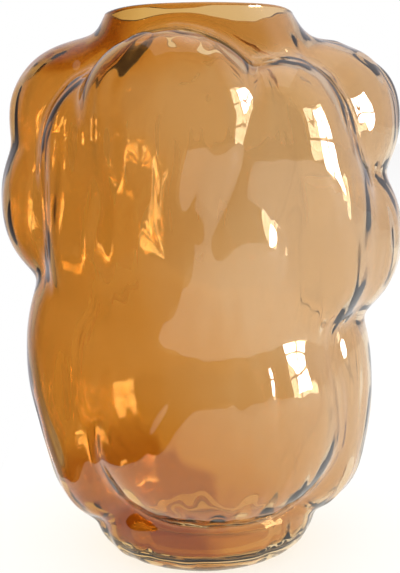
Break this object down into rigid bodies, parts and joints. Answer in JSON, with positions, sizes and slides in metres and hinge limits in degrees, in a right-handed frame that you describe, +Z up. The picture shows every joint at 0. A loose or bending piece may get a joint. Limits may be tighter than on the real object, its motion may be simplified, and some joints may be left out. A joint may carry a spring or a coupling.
{
  "type": "gourd vase",
  "caption": "Lumpy gourd-shaped vase of blown amber glass, with tiers of swells, an open neck and a rounded foot.",
  "frame": {"origin": "middle of the foot, on the surface the vase stands on", "axes": "+Z up along the neck's axis, -Y to the front, +X to the right seen from the front"},
  "size_m": [0.2213, 0.1853, 0.298],
  "materials": {
    "amber_glass": "free-blown soda-lime glass, amber lustre, fire-polished"
  },
  "bodies": {
    "root": {"blown_glass_vessel": "amber_glass"}
  },
  "joints": []
}
